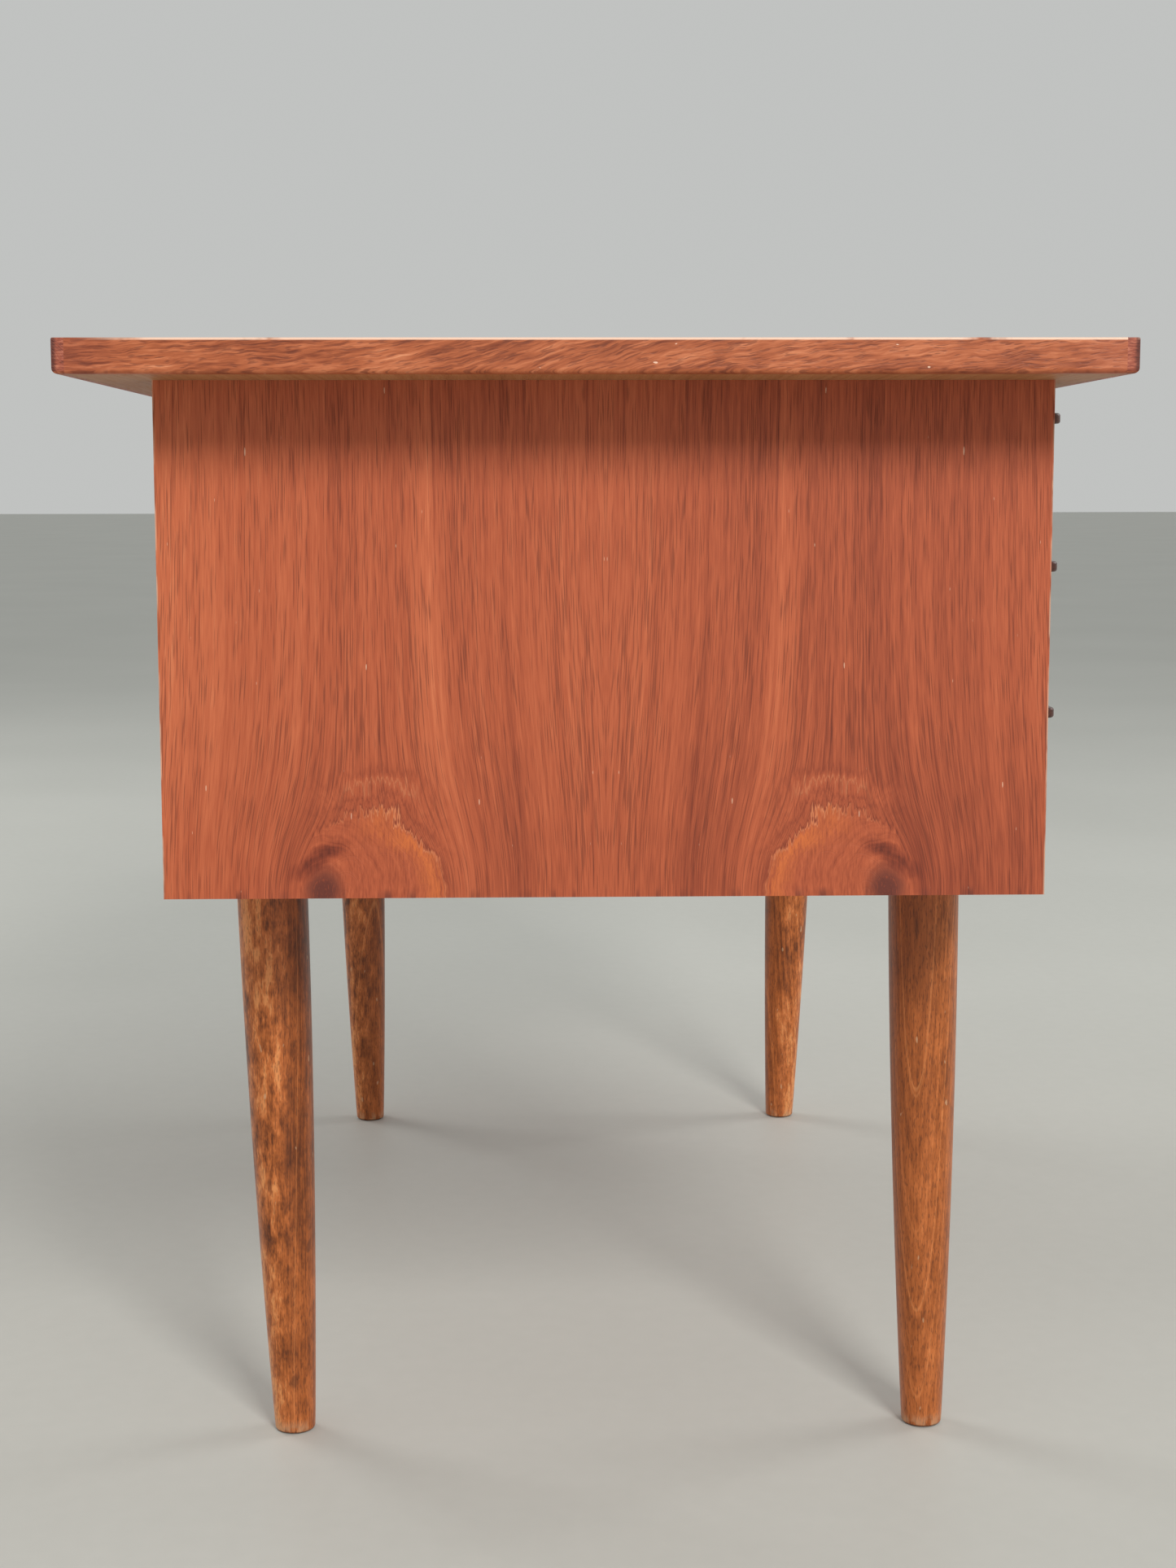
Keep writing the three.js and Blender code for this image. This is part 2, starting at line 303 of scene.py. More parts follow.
def blend(tone, other, share):
    """The tone, moved towards the other by the share."""
    return tone + (other - tone) * share


def strands(g, field, along, seed):
    """What every straight-grained board shows, each about 0.5: broad bands, growth lines and
    fibres; and the dark open pores, as a mask from 0 to 1. field is distance across the grain."""
    bands = g.noise(field * 26.0, along * 0.8, seed, detail=3.0)
    lines = g.noise(field * 340.0, along * 4.0, seed + 7.3, detail=3.0, roughness=0.65)
    fibres = g.noise(field * 1200.0, along * 45.0, seed + 13.1, detail=2.0)
    pore_noise = g.noise(field * 1500.0, along * 36.0, seed + 21.7, detail=1.0)
    crowding = g.noise(field * 60.0, along * 4.0, seed + 33.9, detail=2.0)
    pores = g.step(pore_noise + (crowding - 0.5) * 0.35, 0.55, 0.68)
    return bands, lines, fibres, pores


def runner_wood(g, face_x, colour):
    """Pale beech on whatever stands further in than a board's thickness: its drawer runners."""
    inward = abs(g.x - face_x)
    lines = g.noise(g.y * 6.0, g.z * 300.0, face_x, detail=3.0)
    beech = g.ramp(0.42 + (lines - 0.5) * 0.8, RAW_BEECH_TONES)
    return g.mix(g.step(inward, BOARD + 0.0002, BOARD + 0.0005), colour, beech)


def dovetails(g, drawer, colour):
    """The beech sides' dovetails, showing in the ends of a drawer's teak front."""
    low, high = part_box(f"{drawer}_front")
    side_low, side_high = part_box(f"{drawer}_side_l")
    deep = high.y - g.y
    pitch = (side_high.z - side_low.z) / TAIL_COUNT
    turns = (g.z - side_low.z) / pitch
    from_tail = abs(g.calc("FRACT", turns) - 0.5) * pitch
    width = from_tail - deep * TAIL_TAPER
    tail = g.step(width, TAIL_HALF_WIDTH + TAIL_OUTLINE, TAIL_HALF_WIDTH - TAIL_OUTLINE)
    tail = tail * g.step(deep, TAIL_LENGTH + TAIL_OUTLINE, TAIL_LENGTH - TAIL_OUTLINE)
    tail = tail * g.step(g.z, side_low.z, side_low.z + 0.0003)
    tail = tail * g.step(g.z, side_high.z, side_high.z - 0.0003)
    half_width = (high.x - low.x) / 2
    from_middle = abs(g.x - (low.x + high.x) / 2)
    at_end = g.step(from_middle, half_width - 0.0009, half_width - 0.0007)
    lines = g.noise(g.y * 20.0, g.z * 300.0, low.z, detail=3.0)
    beech = g.ramp(0.45 + (lines - 0.5) * 0.8, RAW_BEECH_TONES)
    return g.mix(tail * at_end, colour, beech)


def teak_board(
    name, across, along, seed, leaf=None, underside_below=None, runners_off=None, drawer=None
):
    """Oiled teak veneer with straight grain. across and along are the axes' letters; leaf is the
    width of one sheet of veneer, each the next one's mirror image. Below underside_below the
    veneer is a plainer one. Drawer runners stand off the face at x = runners_off, and the front
    of the drawer shows its dovetails."""
    g = Graph(name)
    place = {"x": g.x, "y": g.y, "z": g.z}
    u, v = place.pop(across), place.pop(along)
    through = place.popitem()[1]
    if leaf:
        u = g.calc("PINGPONG", u + 10 * leaf, leaf)
    drift = g.noise(u * 5.0, v * 1.6, seed, detail=2.0)
    field = u + through + (drift - 0.5) * 0.03
    bands, lines, fibres, pores = strands(g, field, v, seed)
    tone = 0.5 + (bands - 0.5) * 0.9 + (lines - 0.5) * 0.7 + (fibres - 0.5) * 0.45
    colour = g.ramp(tone, TEAK_TONES)
    colour = g.mix(pores * 0.5, colour, PORE)
    if runners_off is not None:
        colour = runner_wood(g, runners_off, colour)
    if drawer is not None:
        colour = dovetails(g, drawer, colour)
    if underside_below is not None:
        plain = g.ramp(tone, PLAIN_UNDERSIDE_TONES)
        below = g.step(g.z, underside_below + 0.0006, underside_below + 0.0002)
        colour = g.mix(below, colour, plain)
    roughness = 0.47 + (bands - 0.5) * 0.16 + pores * 0.15
    height = fibres * 0.4 + (1.0 - pores) * 0.6
    return g.finish(colour, roughness, height, bump_mm=0.12)


# The knot figure low in each pedestal's outer side, shown twice by two mirrored sheets of
# veneer. Distances are out from the side's middle and up from its lower edge. The figure's
# arcs stand a little inward of it, and a pale crest runs some way outside its rim.
FIGURE_OUT = 0.144
FIGURE_RADIUS = 0.046
ARCS_INWARD = 0.008
CREST_OUTSIDE = 0.019
KNOT_OUT = 0.171
KNOT_UP = 0.004
SMUDGE_OUT = 0.174
SMUDGE_UP = 0.023

# How the sheet's tone runs, from its joint at the side's middle (0) out to the side's edge (1).
SHEET_TONES = [
    (0.0, 0.53),
    (0.10, 0.57),
    (0.20, 0.50),
    (0.30, 0.46),
    (0.37, 0.45),
    (0.40, 0.58),
    (0.44, 0.54),
    (0.48, 0.45),
    (0.66, 0.45),
    (0.74, 0.52),
    (1.0, 0.56),
]


def knot_figure(g, out, up, to_side, tone, fibres, seed):
    """Lays the knot figure over a sheet's tone: jagged arcs above it, year rings inside it, gold
    along its inner rim, and the knot's dark core. Gives the colour, and how far the sheet's own
    pores still show, from 0 to 1."""
    wobble = g.noise(out * 34.0, up * 34.0, seed + 2.0, detail=3.0)
    ragged = g.noise(out * 420.0, up * 26.0, seed + 3.0, detail=3.0, roughness=0.75)
    raised = up + (ragged - 0.5) * 0.034
    radius = g.length(to_side, raised * 0.92) + (wobble - 0.5) * 0.03
    from_arcs = abs(to_side + ARCS_INWARD)

    # Tones: arcs, rings, and a smudge over the knot.
    inside = g.step(radius, FIGURE_RADIUS + 0.003, FIGURE_RADIUS - 0.003)
    arcs = g.noise(radius * 170.0, seed + 4.0, 0.0, detail=2.0, roughness=0.6)
    flame = g.step(radius, FIGURE_RADIUS + 0.038, FIGURE_RADIUS + 0.016)
    flame = flame * g.step(from_arcs, 0.056, 0.020)
    tone = blend(tone, 0.42 + (arcs - 0.5) * 1.3 + (fibres - 0.5) * 0.4, flame * 0.9)
    from_knot = g.length(out - KNOT_OUT, (up - KNOT_UP) * 0.9) + (wobble - 0.5) * 0.016
    rings = g.noise(from_knot * 360.0, to_side * 20.0, seed + 5.0, detail=3.0, roughness=0.65)
    grain = g.noise(out * 900.0, up * 120.0, seed + 6.0, detail=2.0)
    tone = blend(tone, 0.46 + (rings - 0.5) * 0.55 + (grain - 0.5) * 0.5, inside)
    smudge_rise = (up - SMUDGE_UP) + (out - SMUDGE_OUT) * 0.45 + (wobble - 0.5) * 0.02
    smudge = g.step(g.length((out - SMUDGE_OUT) * 0.42, smudge_rise), 0.010, 0.002)
    colour = g.ramp(tone - smudge * 0.34, TEAK_TONES)

    # Colours of their own: the gold rim, the pale lines round and above it, the core.
    layers = g.noise(radius * 260.0, to_side * 60.0, seed + 8.0, detail=3.0, roughness=0.7)
    rim = inside * g.step(radius, FIGURE_RADIUS - 0.022, FIGURE_RADIUS - 0.003)
    rim = rim * g.step(to_side, 0.016, -0.022)
    colour = g.mix(rim * g.step(grain * 0.4 + layers, 0.48, 0.86) * 0.8, colour, FIGURE_GOLD)
    pale_line = g.step(abs(radius - FIGURE_RADIUS - 0.001), 0.0016, 0.0004)
    pale_line = g.calc("MAXIMUM", pale_line, g.step(arcs, 0.60, 0.66) * flame)
    pale_line = pale_line * g.step(to_side, 0.030, -0.002) * g.step(layers, 0.35, 0.55)
    crest = g.step(abs(radius - FIGURE_RADIUS - CREST_OUTSIDE), 0.0022, 0.0005)
    crest = crest * g.step(from_arcs, 0.028, 0.016) * g.step(layers, 0.30, 0.50)
    pale_line = g.calc("MAXIMUM", pale_line, crest * 0.6)
    colour = g.mix(pale_line * 0.5, colour, FIGURE_PALE)
    core = g.step(from_knot, 0.017, 0.004) * g.step(grain + (rings - 0.5), 0.15, 0.45)
    colour = g.mix(core * 0.85, colour, KNOT_DARK)
    return colour, 1.0 - g.calc("MAXIMUM", inside * 0.85, flame * 0.4)


def mirrored_side(name, node, seed):
    """Vertical teak veneer in two mirrored sheets, its grain parting around a knot low down."""
    g = Graph(name)
    low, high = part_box(node)
    face_x = low.x if low.x < 0 else high.x
    inward = abs(g.x - face_x)
    half = (high.y - low.y) / 2
    across = g.y - (low.y + high.y) / 2
    out = abs(across)
    up = g.z - low.z
    drift = g.noise(out * 6.0, up * 1.4, seed, detail=2.0)
    to_side = out - FIGURE_OUT + (drift - 0.5) * 0.008

    # The grain flows past the figure as water flows past a post.
    even_radius = g.length(to_side, up)
    squeeze = 0.78 * FIGURE_RADIUS ** 2 / (even_radius * even_radius + 0.3 * FIGURE_RADIUS ** 2)
    field = to_side * (1.0 - squeeze) + FIGURE_OUT + inward
    bands, lines, fibres, pores = strands(g, field, up, seed + 1.0)
    seams = g.step(g.noise(field * 460.0, up * 5.0, seed + 61.0, detail=1.0), 0.66, 0.76)
    sheet_stops = [(place, (tone, tone, tone, 1.0)) for place, tone in SHEET_TONES]
    tone = g.ramp(field / half, sheet_stops)
    tone = tone + (bands - 0.5) * 0.35 + (lines - 0.5) * 0.55 + (fibres - 0.5) * 0.45
    # Painted light: the tone rises steadily towards the side's back edge, as if that half were lit
    # more brightly.
    tone = tone + across / half * 0.10 + 0.01 - g.step(up, 0.13, 0.01) * 0.09 - seams * 0.16
    colour, pores_showing = knot_figure(g, out, up, to_side, tone, fibres, seed)
    colour = g.mix(pores * pores_showing * 0.5, colour, PORE)

    # Stains along the lower edge, pale chips, and an arris rubbed pale and painted pale as a
    # highlight.
    stain_edge = g.noise(out * 70.0, seed + 9.0, 0.0, detail=3.0, roughness=0.7)
    stain = g.step(up, 0.007, 0.0005) * g.step(stain_edge, 0.50, 0.62)
    colour = g.mix(stain * 0.6, colour, KNOT_DARK)
    chips = g.noise(out * 700.0, up * 110.0, seed + 41.0, detail=0.0)
    colour = g.mix(g.step(chips, 0.86, 0.89) * 0.6, colour, PALE_CHIP_AND_HIGHLIGHT)
    to_edge = g.calc("MINIMUM", abs(g.y - low.y), abs(g.y - high.y))
    to_arris = g.calc("MAXIMUM", to_edge, inward)
    patches = g.noise(g.y * 30.0, g.z * 30.0, seed + 51.0, detail=3.0)
    # Painted highlight and wear: the arrises at the side's front and back edges are lightened in
    # patches.
    rubbed = g.step(to_arris, 0.0010, 0.0004) * g.step(patches, 0.42, 0.6)
    colour = g.mix(rubbed * 0.5, colour, PALE_CHIP_AND_HIGHLIGHT)
    colour = runner_wood(g, face_x, colour)
    roughness = 0.46 + (bands - 0.5) * 0.12 + pores * 0.15
    height = fibres * 0.4 + (1.0 - pores) * 0.6
    return g.finish(colour, roughness, height, bump_mm=0.12)


def solid_edging(name, along, seed):
    """Solid teak with slanting, interlocked figure, and an upper arris rubbed pale and painted pale
    as a highlight.
    The front and back pieces' ends show end grain in short dark ticks, with painted shade darkest
    at the desk's corners."""
    g = Graph(name)
    to_corner = cad_high.y - abs(g.y)
    to_end = cad_high.x - abs(g.x)
    v, across = (g.x, to_corner) if along == "x" else (g.y, to_end)
    slant = g.noise(v * 4.0, seed, 0.0, detail=1.0)
    curl = g.noise(v * 45.0, g.z * 80.0, seed + 2.0, detail=2.0)
    field = g.z + v * 0.10 + g.step(v, -0.22, 0.14) * 0.03 + (slant - 0.5) * 0.03
    field = field + (curl - 0.5) * 0.006 + across
    bands = g.noise(field * 120.0, v * 7.0, seed + 3.0, detail=3.0, roughness=0.6)
    lines = g.noise(field * 620.0, v * 48.0, seed + 4.0, detail=3.0, roughness=0.65)
    blotch = g.noise(v * 15.0, g.z * 40.0, seed + 6.0, detail=3.0)
    pores = g.step(g.noise(field * 1100.0, v * 120.0, seed + 5.0, detail=1.0), 0.55, 0.66)
    tone = 0.48 + (bands - 0.5) * 0.6 + (lines - 0.5) * 1.1 + (blotch - 0.5) * 0.6
    colour = g.ramp(tone, EDGING_TONES)
    colour = g.mix(pores * 0.5, colour, PORE)
    colour = g.mix(g.step(to_corner, 0.055, 0.0) * 0.4, colour, g.ramp(tone, END_GRAIN_TONES))

    if along == "x":
        ticks = g.noise(g.y * 260.0, g.z * 1300.0, seed + 7.0, detail=2.0)
        coarse = g.noise(g.y * 120.0, g.z * 300.0, seed + 9.0, detail=2.0)
        end_tone = 0.5 + (ticks - 0.5) * 1.4 + (coarse - 0.5) * 0.7
        end_colour = g.ramp(end_tone, END_GRAIN_TONES)
        # Painted shade: the end grain's outer few millimetres at the desk's corners are darkened.
        corner = g.step(to_corner, 0.0034, 0.0010)
        end_colour = g.mix(corner * 0.75, end_colour, CORNER_SHADE)
        colour = g.mix(g.step(to_end, 0.0007, 0.0003), colour, end_colour)

    # The upper arris is rubbed pale in patches and painted pale as a highlight, and nicked.
    patches = g.noise(g.x * 26.0, g.y * 26.0, seed + 8.0, detail=4.0, roughness=0.7)
    to_arris = g.calc("MAXIMUM", cad_high.z - g.z, across)
    arris = g.step(to_arris, 0.0016, 0.0010)
    if along == "y":
        arris = arris * g.step(cad_high.y - g.y, 0.01, 0.06) * g.step(patches, 0.24, 0.42)
    else:
        arris = arris * g.step(patches, 0.45, 0.65) * 0.7
    # Painted highlight and wear: the upper arris is painted pale, partly for rubbing and partly as
    # the highlight it catches from above.
    colour = g.mix(arris * 0.92, colour, RUBBED_AND_HIGHLIGHT_PALE)
    nicks = g.noise(g.x * 170.0, g.y * 170.0, g.z * 400.0, detail=0.0)
    colour = g.mix(g.step(nicks, 0.845, 0.865) * 0.85, colour, RUBBED_AND_HIGHLIGHT_PALE)
    roughness = 0.42 + (lines - 0.5) * 0.2 + pores * 0.15
    height = lines * 0.5 + (1.0 - pores) * 0.5
    return g.finish(colour, roughness, height, bump_mm=0.2)


def leg_beech(name, top, foot, heart, lean, mottling_and_shading, seed):
    """Stained beech turned from one billet. heart is how far off the log's own middle lies
    across the leg at mid height, and lean its drift over the leg's height, so that the turning
    cuts the year rings into arches. mottling_and_shading is how blotchily the stain took on the
    leg's outward side, inward it took more evenly; it also scales the painted light on the
    outward side, the painted shade on the inward side and the painted shade towards the top."""
    g = Graph(name)
    height = top.z - foot.z
    rise = (g.z - foot.z) / height
    local_x = g.x - (foot.x + (top.x - foot.x) * 0.5)
    local_y = g.y - (foot.y + (top.y - foot.y) * 0.5)
    wander = g.noise(g.x * 14.0, g.y * 14.0, g.z * 5.0 + seed, detail=2.0)
    ring = g.length(
        local_x - heart[0] - (rise - 0.5) * lean[0],
        local_y - heart[1] - (rise - 0.5) * lean[1],
    )
    ring = ring + (wander - 0.5) * 0.006
    years = g.noise(ring * 400.0, seed, 0.0, detail=3.0, roughness=0.6)
    fibres = g.noise(g.x * 800.0, g.y * 800.0, g.z * 30.0 + seed, detail=2.0)
    flecks = g.step(g.noise(g.x * 1200.0, g.y * 1200.0, g.z * 210.0 + seed, detail=1.0), 0.54, 0.65)
    blotches = g.noise(g.x * 42.0, g.y * 42.0, g.z * 13.0 + seed * 3.0, detail=3.0, roughness=0.6)
    pools = g.noise(g.x * 18.0, g.y * 18.0, (g.z + g.y) * 11.0 + seed * 5.0, detail=1.0)
    scales = g.noise(g.x * 150.0, g.y * 150.0, g.z * 60.0 + seed, detail=3.0, roughness=0.7)

    # The stain: pools, blotches and scales, boldest on the outward side, which is also the lit
    # side.
    outward = 1.0 if foot.y > 0 else -1.0
    lit_outward_side = g.step(local_y * outward + (blotches - 0.5) * 0.03, -0.012, 0.008)
    patchy = (0.35 + lit_outward_side * 0.65) * mottling_and_shading
    tone = 0.55 + (years - 0.5) * 0.8 + (fibres - 0.5) * 0.5
    # Painted light and shade: the outward side is lightened as painted light, the inward side
    # darkened as painted shade, and the leg darkened towards its top as painted shade under the
    # pedestal.
    tone = tone + ((lit_outward_side - 0.5) * 0.16 + (0.4 - rise) * 0.17) * mottling_and_shading
    tone = tone + ((blotches - 0.5) * 0.8 + (scales - 0.5) * 1.4 + (pools - 0.5) * 0.6) * patchy
    colour = g.ramp(tone, BEECH_STAIN_TONES)
    colour = g.mix(flecks * 0.45, colour, BEECH_FLECK)
    pale_years = g.step(years, 0.60, 0.68)
    colour = g.mix(pale_years * 0.35, colour, PALE_YEAR)

    # Wear: a chipped foot, a dark sole, bruises and pale nicks.
    chips = g.noise(g.x * 150.0, g.y * 150.0, g.z * 90.0 + seed, detail=2.0)
    rubbed = g.step(g.z, foot.z + 0.012, foot.z + 0.001) * g.step(chips, 0.42, 0.62)
    colour = g.mix(rubbed * 0.45, colour, FOOT_PALE)
    sole = g.step(g.z, foot.z + 0.0022, foot.z + 0.0008)
    colour = g.mix(sole * 0.7, colour, BEECH_FLECK)
    bruises = g.noise(g.x * 85.0, g.y * 85.0, g.z * 40.0 - seed, detail=1.0)
    colour = g.mix(g.step(bruises, 0.74, 0.80) * 0.5, colour, BEECH_FLECK)
    nicks = g.noise(g.x * 260.0, g.y * 260.0, g.z * 110.0 + seed, detail=0.0)
    colour = g.mix(g.step(nicks, 0.82, 0.86) * 0.5, colour, FOOT_PALE)
    roughness = 0.38 + (blotches - 0.5) * 0.25 + rubbed * 0.2
    relief = fibres * 0.5 + (1.0 - flecks) * 0.5
    return g.finish(colour, roughness, relief, bump_mm=0.1, coat=0.15)


def pull_teak(name):
    """Dark, close-grained solid teak, handled smooth."""
    g = Graph(name)
    grain = g.noise(g.x * 12.0, g.y * 500.0, g.z * 500.0, detail=3.0, roughness=0.6)
    wear = g.noise(g.x * 40.0, g.y * 60.0, g.z * 60.0, detail=3.0)
    pores = g.step(g.noise(g.x * 90.0, g.y * 1400.0, g.z * 1400.0, detail=1.0), 0.62, 0.72)
    tone = 0.5 + (grain - 0.5) * 1.0 + (wear - 0.5) * 0.6
    colour = g.mix(pores * 0.6, g.ramp(tone, PULL_TONES), PULL_PORE)
    return g.finish(colour, 0.36 + (wear - 0.5) * 0.3, grain, bump_mm=0.08, coat=0.1)


def raw_board(name, along, tones, seed):
    """Unfinished pale wood inside the drawers, with fine short flecks."""
    g = Graph(name)
    spread = {"x": g.x, "y": g.y, "z": g.z}
    scaled = [value * (6.0 if axis == along else 260.0) for axis, value in spread.items()]
    fine = [value * (60.0 if axis == along else 1300.0) for axis, value in spread.items()]
    lines = g.noise(*scaled, detail=3.0, roughness=0.6)
    flecks = g.step(g.noise(*fine, detail=1.0), 0.60, 0.70)
    stains = g.noise(g.x * 9.0, g.y * 9.0, g.z * 9.0 + seed, detail=3.0)
    tone = 0.5 + (lines - 0.5) * 0.8 + (stains - 0.5) * 0.6
    colour = g.mix(flecks * 0.35, g.ramp(tone, tones), RAW_FLECK)
    return g.finish(colour, 0.62 + (stains - 0.5) * 0.2, lines, bump_mm=0.08)


def bolt_steel(name):
    """Zinc-plated steel, faintly streaked."""
    g = Graph(name)
    streaks = g.noise(g.x * 60.0, g.y * 60.0, g.z * 900.0, detail=2.0)
    colour = g.ramp(streaks, STEEL_TONES)
    g.shader.inputs["Metallic"].default_value = 1.0
    return g.finish(colour, 0.3 + (streaks - 0.5) * 0.3, streaks, bump_mm=0.03)


def stage_floor_material():
    """Plain pale floor, very faintly clouded."""
    g = Graph("stage_floor")
    clouds = g.noise(g.x * 1.2, g.y * 1.2, 0.0, detail=4.0)
    speckle = g.noise(g.x * 60.0, g.y * 60.0, 0.0, detail=2.0)
    tone = 0.5 + (clouds - 0.5) * 0.5 + (speckle - 0.5) * 0.15
    colour = g.ramp(tone, FLOOR_TONES)
    return g.finish(colour, 0.55 + (clouds - 0.5) * 0.1, speckle, bump_mm=0.1)


# ---------------------------------------------------------------- carried CAD nodes

# The widths of the veneer's sheets.
TOP_LEAF_WIDTH = 0.152
INNER_LEAF_WIDTH = 0.2675
BACK_LEAF_WIDTH = 0.165

# Corners sharper than this are arrises to ease.
ARRIS_ANGLE = 40


def dress(node, material):
    """Gives a CAD node its material."""
    slots = NODES[node].data.materials
    slots.clear()
    slots.append(material)


def ease_arrises(node, width=0.0008):
    """Rounds a board's arrises a little, as sanding does."""
    bevel = NODES[node].modifiers.new("eased arrises", "BEVEL")
    bevel.width = width
    bevel.segments = 3
    bevel.limit_method = "ANGLE"
    bevel.angle_limit = math.radians(ARRIS_ANGLE)


def smooth_by_angle(mesh, degrees=30):
    """Shades the mesh smooth, but for its edges sharper than so many degrees."""
    mesh.polygons.foreach_set("use_smooth", [True] * len(mesh.polygons))
    mesh.set_sharp_from_angle(angle=math.radians(degrees))


def dress_top():
    """Mirrored sheets of veneer on the board, and solid edging round it."""
    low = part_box("top_board")[0]
    board = teak_board("teak_top", "y", "x", 4.0, leaf=TOP_LEAF_WIDTH, underside_below=low.z)
    dress("top_board", board)
    edges = (("front", "x"), ("back", "x"), ("left", "y"), ("right", "y"))
    for i, (edge, along) in enumerate(edges):
        dress(f"top_edging_{edge}", solid_edging(f"teak_edging_{edge}", along, 3.7 * i + 1.0))
        smooth_by_angle(NODES[f"top_edging_{edge}"].data)


def dress_pedestals():
    """Mirrored veneer with the knot figure outside, straight veneer on the other boards."""
    for i, side in enumerate(PEDESTALS):
        outer = f"{side}_outer_side"
        dress(outer, mirrored_side(f"teak_{outer}", outer, 2.0 + 17.0 * i))
        inner_low, inner_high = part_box(f"{side}_inner_side")
        plain = teak_board(
            f"teak_{side}_inner",
            "y",
            "z",
            31.0 + i,
            leaf=INNER_LEAF_WIDTH,
            runners_off=inner_high.x if side == "left" else inner_low.x,
        )
        flat = teak_board(f"teak_{side}_flat", "y", "x", 47.0 + i)
        back = teak_board(f"teak_{side}_back", "x", "z", 55.0 + i, leaf=BACK_LEAF_WIDTH)
        dress(f"{side}_inner_side", plain)
        dress(f"{side}_top_rail", flat)
        dress(f"{side}_bottom_board", flat)
        dress(f"{side}_back_board", back)
        for part in ("outer_side", "inner_side", "top_rail", "bottom_board", "back_board"):
            ease_arrises(f"{side}_{part}")


def dress_drawers():
    """Teak fronts on pale beech boxes with thin bottoms."""
    sides = raw_board("beech_drawer", "y", RAW_BEECH_TONES, 1.0)
    bottoms = raw_board("ply_drawer_bottom", "x", PLY_TONES, 5.0)
    for i, side in enumerate(PEDESTALS):
        for number in (1, 2, 3):
            drawer = f"{side}_drawer_{number}"
            front = teak_board(f"teak_{drawer}_front", "z", "x", 71.0 + 9.0 * i, drawer=drawer)
            dress(f"{drawer}_front", front)
            ease_arrises(f"{drawer}_front")
            for part in ("side_l", "side_r", "back"):
                dress(f"{drawer}_{part}", sides)
                ease_arrises(f"{drawer}_{part}", 0.001)
            dress(f"{drawer}_bottom", bottoms)


# ---------------------------------------------------------------- pieces built here


def new_piece(name, vertices, faces, material, smooth_degrees):
    """An object with all its faces turned outward."""
    mesh = bpy.data.meshes.new(name)
    mesh.from_pydata(vertices, [], faces)
    mesh.materials.append(material)
    tidy = bmesh.new()
    tidy.from_mesh(mesh)
    bmesh.ops.recalc_face_normals(tidy, faces=tidy.faces)
    tidy.to_mesh(mesh)
    tidy.free()
    smooth_by_angle(mesh, smooth_degrees)
    piece = bpy.data.objects.new(name, mesh)
    bpy.context.scene.collection.objects.link(piece)
    return piece


def skin(rings):
    """Joins rings of equally many points into one closed surface, with flat ends."""
    count = len(rings[0])
    vertices = [point for ring in rings for point in ring]
    faces = [tuple(range(count)), tuple(range(len(vertices) - count, len(vertices)))]
    for level in range(len(rings) - 1):
        for i in range(count):
            here = level * count + i
            beside = level * count + (i + 1) % count
            faces.append((here, beside, beside + count, here + count))
    return vertices, faces


# From its top down, a leg thins by the power LEG_BULGE of the way to its foot, whose lower edge
# is rounded by FOOT_ROUND.
FOOT_DIAMETER = 0.0275
FOOT_ROUND = 0.0025
FOOT_ROUND_STEPS = 4
LEG_BULGE = 1.8
LEG_SIDES = 72
LEG_RINGS = 48

# For each leg: where the log's middle lies across the leg at mid height, how far it drifts over
# the leg's height, and how blotchily the stain took and how strongly the painted light and shade
# show.
LEG_WOODS = {
    "left_front": ((-0.036, 0.014), (0.026, -0.008), 0.45),
    "left_back": ((0.020, -0.052), (0.02, 0.01), 1.5),
    "right_front": ((-0.01, 0.060), (0.01, 0.03), 1.1),
    "right_back": ((0.048, 0.030), (-0.05, 0.02), 1.3),
}


def leg(name):
    """A turned leg, from its foot's middle to its bolt."""
    low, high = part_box(f"{name}_leg")
    foot = MOUNTS[f"{name}_foot"]
    bolt = middle(f"{name}_leg_bolt")
    top = Vector((bolt.x, bolt.y, high.z))
    top_radius = (high.x - low.x) / 2
    foot_radius = FOOT_DIAMETER / 2

    def radius(rise):
        return top_radius - (top_radius - foot_radius) * (1 - rise) ** LEG_BULGE

    levels = []
    for i in range(FOOT_ROUND_STEPS + 1):
        angle = i / FOOT_ROUND_STEPS * math.pi / 2
        levels.append((
            FOOT_ROUND * (1 - math.cos(angle)),
            radius(0) - FOOT_ROUND * (1 - math.sin(angle)),
        ))
    for i in range(1, LEG_RINGS + 1):
        height = FOOT_ROUND + (high.z - FOOT_ROUND) * i / LEG_RINGS
        levels.append((height, radius(height / high.z)))
    rings = []
    for height, r in levels:
        centre = foot.lerp(top, height / high.z)
        rings.append([
            (
                centre.x + r * math.cos(2 * math.pi * k / LEG_SIDES),
                centre.y + r * math.sin(2 * math.pi * k / LEG_SIDES),
                height,
            )
            for k in range(LEG_SIDES)
        ])
    seed = 5.0 + LEGS.index(name) * 7.0
    material = leg_beech(f"beech_{name}", top, foot, *LEG_WOODS[name], seed)
    vertices, faces = skin(rings)
    piece = new_piece(f"{name}_turned_leg", vertices, faces, material, 35)
    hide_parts(f"{name}_leg")
    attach(piece, "desk")


# A pull's edges are rounded by PULL_ROUND, and its two outer corners, from above, by PULL_CORNER.
PULL_ROUND = 0.0016
PULL_ROUND_STEPS = 5
PULL_CORNER = 0.007
PULL_CORNER_STEPS = 8


